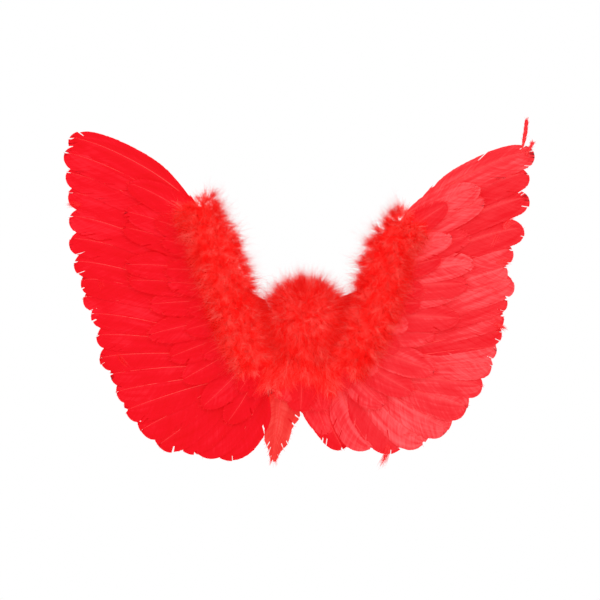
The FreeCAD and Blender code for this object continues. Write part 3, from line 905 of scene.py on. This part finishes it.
def inside(points, loop):
    """Which points lie inside a closed loop."""
    crossings = np.zeros(len(points), int)
    for (x0, z0), (x1, z1) in zip(loop, np.roll(loop, -1, axis=0)):
        between = (points[:, 1] < z0) != (points[:, 1] < z1)
        slope = (x1 - x0) * (points[:, 1] - z0) / (z1 - z0 if abs(z1 - z0) > 1e-12 else 1e-12) + x0
        crossings += between & (points[:, 0] < slope)
    return crossings % 2 == 1


FELT_RIM, FELT_GRID = 0.0022, 0.0035  # steps between the points at a sheet's edge and inside it


def felt_sheet(name, node, body, slot, material, relief, seed):
    """A felt plate of its CAD node as a slightly wavy sheet that thins out at its cut edges."""
    rng = np.random.default_rng(seed)
    outline = even_loop(front_outline(*welded(node))[:, (0, 2)], FELT_RIM)
    low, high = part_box(node)
    lines = (np.arange(low[k], high[k], FELT_GRID) for k in (0, 2))
    grid = np.stack(np.meshgrid(*lines), -1).reshape(-1, 2)
    grid = grid + rng.uniform(-0.0007, 0.0007, grid.shape)
    grid = grid[inside(grid, outline)]
    near = np.linalg.norm(grid[:, None] - outline[None], axis=2).min(axis=1)
    grid, near = grid[near > 0.0016], near[near > 0.0016]
    rim = len(outline)
    border = [(i, (i + 1) % rim) for i in range(rim)]
    made = delaunay_2d_cdt([Vector(p) for p in np.vstack([outline, grid])], border, [], 1, 1e-7)
    xz, triangles = np.array([tuple(p) for p in made[0]]), np.array(made[2])
    first, second = (xz[triangles[:, k]] - xz[triangles[:, 0]] for k in (1, 2))
    wrong = first[:, 0] * second[:, 1] - second[:, 0] * first[:, 1] <= 0
    triangles[wrong] = triangles[wrong][:, ::-1]
    count, faces = len(xz), [tuple(f) for f in triangles.tolist()]
    inset = np.clip(np.r_[np.zeros(rim), near] / 0.004, 0, 1)
    thick = (high.y - low.y) * (0.72 + 0.28 * inset)
    middle = (high.y + low.y) / 2 + relief(xz) * inset
    skins = [upright(xz, middle + way * thick / 2) for way in (-1, 1)]
    edges = [(f[k], f[(k + 1) % 3]) for f in faces for k in range(3)]
    known = set(edges)
    hem = [(b, a, a + count, b + count) for a, b in edges if (b, a) not in known]
    faces += [tuple(i + count for i in f[::-1]) for f in faces] + hem
    obj = new_object(name, np.vstack(skins), faces, [material])
    place(obj, body, slot, node)
    return outline


def soft_wave(xz, size, amount, seed):
    phase = np.random.default_rng(seed).uniform(0, 6.28, 4)
    x, z = xz[:, 0] / size, xz[:, 1] / size
    return amount * (np.sin(x + phase[0]) * np.sin(z * 0.8 + phase[1])
                     + 0.5 * np.sin((x + z) * 1.7 + phase[2])) / 1.5


def stitch(out, start, end, away=BACK, radius=0.00022):
    """One visible stitch: a short thread that rises out of the cloth and dips back into it."""
    start, end = np.asarray(start, float), np.asarray(end, float)
    share = np.linspace(0, 1, 7)
    arch = np.sin(share * math.pi) ** 0.6 * radius * 1.4
    path = start + (end - start) * share[:, None] + np.outer(arch, away)
    radii = radius * np.array((0.5, 0.9, 1, 1, 1, 0.9, 0.5))
    out.add(*tube(path, radii, 7), ring_grain(share * np.linalg.norm(end - start) * 1000, 7))


def running_stitch(name, body, line, y, radius=0.00022):
    """Stitches along every other step of a closed line of (x, z) points."""
    out = Pieces()
    for a, b in zip(line[0:-1:2], line[1::2]):
        stitch(out, (a[0], y, a[1]), (b[0], y, b[1]), radius=radius)
    place(out.build(name, [THREAD]), body, "sewing_thread")


def inset_loop(loop, depth):
    """A closed loop moved inward by a depth."""
    run = np.roll(loop, -1, axis=0) - np.roll(loop, 1, axis=0)
    normal = unit(np.stack([-run[:, 1], run[:, 0]], 1))
    inward = np.sign(((loop.mean(axis=0) - loop) * normal).sum(axis=1))
    return loop + normal * (depth if np.median(inward) > 0 else -depth)


def wire_distance(name):
    """How far points are from the wire of a wing, as a function of (x, z)."""
    points, triangles = welded("wire_frame_" + name)
    ends = points[:, (0, 2)][np.concatenate([triangles[:, (0, 1)], triangles[:, (1, 2)]])]
    share = np.linspace(0, 1, 61)[:, None, None]
    along = ends[None, :, 0] + (ends[None, :, 1] - ends[None, :, 0]) * share
    wire = np.unique(np.round(along.reshape(-1, 2) * 1000), axis=0) / 1000

    def distance(xz):
        gap = np.full(len(xz), np.inf)
        for k in range(0, len(wire), 400):
            part = wire[k:k + 400]
            gap = np.minimum(gap, np.linalg.norm(xz[:, None] - part[None], axis=2).min(axis=1))
        return gap
    return distance


def off_wire(far):
    """0 over the wire, 1 from a few millimetres away from it."""
    return np.clip((far - 0.0034) / 0.007, 0, 1)


for number, (name, body, side) in enumerate(WINGS):
    far = wire_distance(name)
    felt_sheet("felt_base_" + name, "wing_base_" + name, body, "base_felt", FELT,
               lambda xz: soft_wave(xz, 0.012, 0.00012, 610 + number) * off_wire(far(xz)), 600 + number)
    lining_loop = felt_sheet(
        "felt_lining_" + name, "back_lining_" + name, body, "lining_felt", LINING,
        lambda xz: (soft_wave(xz, 0.010, 0.00022, 630 + number) - 0.0009) * off_wire(far(xz)),
        620 + number)
    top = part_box("back_lining_" + name)[1].y
    running_stitch("lining_stitches_" + name, body, even_loop(inset_loop(lining_loop, 0.0034), 0.0021),
                   top - 0.0001)


# ---- pad, straps and sewing at the back

PAD_CHANNEL = 0.87  # where the sewn channel lies, as a share of the pad's half width


def rounded_outline(half_w, half_h, corner, count):
    """Points round a rounded rectangle, evenly by angle in each corner."""
    points = []
    for cx, cz, begin in ((1, 1, 0), (-1, 1, 90), (-1, -1, 180), (1, -1, 270)):
        for k in range(count):
            turn = math.radians(begin + 90 * k / (count - 1))
            points.append((cx * (half_w - corner) + corner * math.cos(turn),
                           cz * (half_h - corner) + corner * math.sin(turn)))
    return np.array(points)


def padded_back():
    """The back pad: a crowned felt cushion with a sewn channel inside its edge."""
    low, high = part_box("back_pad")
    half_w, half_h = (high.x - low.x) / 2, (high.z - low.z) / 2
    outline = even_loop(rounded_outline(1.0, half_h / half_w, 0.42, 8), 0.055)
    count = len(outline)

    def level(share):
        crown = (1 - share ** 6) ** 0.5 if share < 1 else 0.0
        return low.y + (high.y - low.y) * (0.30 + 0.70 * crown)

    rings = []
    for share in np.r_[np.linspace(0.05, 0.8, 11), 0.84, PAD_CHANNEL, 0.90, 0.93, 0.96, 0.985, 1.0]:
        channel = math.exp(-((share - PAD_CHANNEL) / 0.022) ** 2)
        ring = outline * share * half_w
        pull = 0.0004 * np.sin(np.arange(count) * TURN / 5.3) * (share > 0.8)
        rings.append(upright(ring, level(share) - 0.0011 * channel + pull))
    rings.append(rings[-1] * (0.985, 1, 0.985) + (0, low.y + 0.0002 - rings[-1][:, 1].mean(), 0))
    rings.append(rings[-1] * (0.6, 1, 0.6))
    faces = ring_faces(len(rings), count, inward=True)
    obj = rounded(new_object("felt_back_pad", np.concatenate(rings), faces, [PAD_FABRIC]))
    place(obj, "centre", "pad_felt", "back_pad")
    running_stitch("pad_stitches", "centre", even_loop(outline * PAD_CHANNEL * half_w, 0.0018),
                   level(PAD_CHANNEL) - 0.0010, 0.0002)


# the loop of each strap in side view (y, z) from its upper to its lower sewn end, as in the CAD
STRAP_LOOP = ((0, 38), (5, 47), (18, 50), (40, 41), (60, 15), (66, -18), (56, -50),
              (34, -67), (14, -65), (3, -53), (0, -38))
STRAP_END, STRAP_X, STRAP_SPREAD, STRAP_WIDTH, STRAP_THICK = 0.029, 0.014, 0.018, 0.012, 0.0012


def clamped_spline(knots, samples):
    """A smooth cubic through points, straight up at both of its ends."""
    chord = travelled(knots)
    n, gap = len(knots), np.diff(chord)
    system, target = np.zeros((n, n)), np.zeros((n, 2))
    system[0, 0] = system[-1, -1] = 1.0
    target[0] = target[-1] = (0.0, 1.0)
    for i in range(1, n - 1):
        system[i, i - 1:i + 2] = gap[i], 2 * (gap[i - 1] + gap[i]), gap[i - 1]
        target[i] = 3 * (gap[i] * (knots[i] - knots[i - 1]) / gap[i - 1]
                         + gap[i - 1] * (knots[i + 1] - knots[i]) / gap[i])
    slope = np.linalg.solve(system, target)
    at = np.linspace(0, chord[-1], samples)
    k = np.clip(np.searchsorted(chord, at, side="right") - 1, 0, n - 2)
    s = ((at - chord[k]) / gap[k])[:, None]
    h = gap[k][:, None]
    return ((2 * s ** 3 - 3 * s ** 2 + 1) * knots[k] + (s ** 3 - 2 * s ** 2 + s) * h * slope[k]
            + (-2 * s ** 3 + 3 * s ** 2) * knots[k + 1] + (s ** 3 - s ** 2) * h * slope[k + 1])


def elastic_strap(name, side):
    """A woven elastic band with soft rounded edges, following the CAD strap."""
    node = "shoulder_strap_" + name
    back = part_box(node)[0].y + STRAP_THICK / 2
    loop = clamped_spline(np.array(STRAP_LOOP) / 1000.0, 150)
    x = side * (STRAP_X + STRAP_SPREAD * np.sin(math.pi * np.linspace(0, 1, len(loop))) ** 2)
    upper, lower = ([(side * STRAP_X, back, z) for z in np.linspace(*ends, 6)]
                    for ends in ((STRAP_END, 0.037), (-0.037, -STRAP_END)))
    path = np.vstack([upper, np.stack([x, back + loop[:, 0], loop[:, 1]], 1), lower])
    wide = np.array((1.0, 0.0, 0.0))
    flat = unit(np.cross(wide, unit(np.gradient(path, axis=0))))
    across = np.linspace(-1, 1, 13)
    height = np.sqrt(np.clip(1 - np.abs(across) ** 8, 0.04, 1))
    height = height * (1 + 0.10 * np.cos(across * math.pi * 6))
    across, height = np.r_[across, across[::-1]], np.r_[height, -height[::-1]]
    along = travelled(path) * 1000
    wobble = 1 + 0.012 * np.sin(along * 1.9)
    points = (path[:, None] + wide * np.outer(wobble, across)[..., None] * STRAP_WIDTH / 2
              + flat[:, None] * height[:, None] * STRAP_THICK / 2)
    grain = np.stack(np.broadcast_arrays(along[:, None], across * STRAP_WIDTH * 500, side), axis=-1)
    obj = new_object("elastic_strap_" + name, points.reshape(-1, 3), ring_faces(len(path), len(across)),
                     [ELASTIC], grain=grain)
    place(obj, "centre", "elastic", node)


def strap_sewing():
    """Each strap end sewn with a box of stitches crossed corner to corner."""
    out = Pieces()
    for points, triangles in solids_of("strap_stitching"):
        low, high = points.min(axis=0) + 0.0004, points.max(axis=0) - 0.0004
        y = low[1] - 0.0003
        corners = np.array(((low[0], low[2]), (high[0], low[2]), (high[0], high[2]), (low[0], high[2])))
        for i, j in ((0, 1), (1, 2), (2, 3), (3, 0), (0, 2), (1, 3)):
            a, run = corners[i], corners[j] - corners[i]
            steps = max(3, int(round(np.linalg.norm(run) / 0.0019)))
            for k in range(steps):
                p, q = a + run * (k + 0.1) / steps, a + run * (k + 0.9) / steps
                stitch(out, (p[0], y, p[1]), (q[0], y, q[1]))
    place(out.build("box_stitches", [THREAD]), "centre", "sewing_thread", "strap_stitching")


def sleeve_sewing():
    """The stitches through the sleeve flanges."""
    out = Pieces()
    for points, triangles in solids_of("sleeve_stitching"):
        low, high = points.min(axis=0), points.max(axis=0)
        x, y = (low[0] + high[0]) / 2, high[1] - 0.0001
        stitch(out, (x, y, low[2] + 0.0001), (x, y, high[2] - 0.0001), FRONT, 0.00030)
    place(out.build("flange_stitches", [THREAD]), "centre", "sewing_thread", "sleeve_stitching")


padded_back()
elastic_strap("left", -1)
elastic_strap("right", 1)
strap_sewing()
sleeve_sewing()


# ---- hard CAD nodes that stay

def dress(node, material):
    """Gives a CAD node that keeps its shape its finished material."""
    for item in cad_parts[node].material_slots:
        item.link = "OBJECT"
        item.material = material


dress("back_board", card_material())
HARDWARE = {
    "hinge_sleeve_": sleeve_material(),
    "wire_frame_": metal_material("galvanised_wire", (0.36, 0.37, 0.38), (0.68, 0.69, 0.70),
                                  (700.0, 700.0, 90.0), 0.28, 0.5),
    "wire_crimps_": metal_material("crimp_sleeve", (0.55, 0.55, 0.56), (0.86, 0.86, 0.87),
                                   (300.0, 300.0, 2400.0), 0.22, 0.42)}
for name, body, side in WINGS:
    for node, material in HARDWARE.items():
        dress(node + name, material)


# ---- studio

FLOOR_RADIUS, FLOOR_DROP = 1.45, 0.30
LIGHTS = (("key", (1.1, -2.2, 1.5), 1.2, 9.0), ("fill", (-1.6, -1.9, 0.5), 1.6, 2.0))


def studio():
    """A pale floor below, soft light from the front and a white surround."""
    m = Maker("studio_floor")
    speck = m.noise(m.place(), 60.0, 4.0)
    finish = m.finish(m.ramp(speck, (0.3, (0.80, 0.80, 0.80)), (0.7, (0.86, 0.86, 0.86))),
                      m.span(speck, 0.3, 0.7, 0.75, 0.6))
    level = cad_low.z - FLOOR_DROP
    points = [(FLOOR_RADIUS * math.cos(TURN * k / 96), FLOOR_RADIUS * math.sin(TURN * k / 96), level)
              for k in range(96)]
    new_object("studio_floor", points, [range(96)], [finish])
    world = bpy.data.worlds.new("studio")
    world.use_nodes = True
    background = world.node_tree.nodes["Background"]
    background.inputs["Color"].default_value = (1.0, 1.0, 1.0, 1.0)
    background.inputs["Strength"].default_value = 1.0
    bpy.context.scene.world = world
    for name, place_at, size, power in LIGHTS:
        data = bpy.data.lights.new(name, "AREA")
        data.size = size
        data.energy = power
        light = linked(name, data)
        light.location = place_at
        aim = Vector((0.0, 0.0, 0.05)) - light.location
        light.rotation_euler = aim.to_track_quat("-Z", "Y").to_euler()


def camera():
    """Straight on to the wings' face, as in the photograph: 600 mm across at the feathers."""
    data = bpy.data.cameras.new("camera")
    data.sensor_width = 36.0
    data.lens = 180.0
    data.clip_end = 50.0
    obj = linked("camera", data)
    obj.location = (0.0, -3.01, 0.045)
    obj.rotation_euler = (math.radians(90), 0.0, 0.0)
    bpy.context.scene.camera = obj


studio()
camera()
bpy.context.scene.view_settings.view_transform = "Standard"
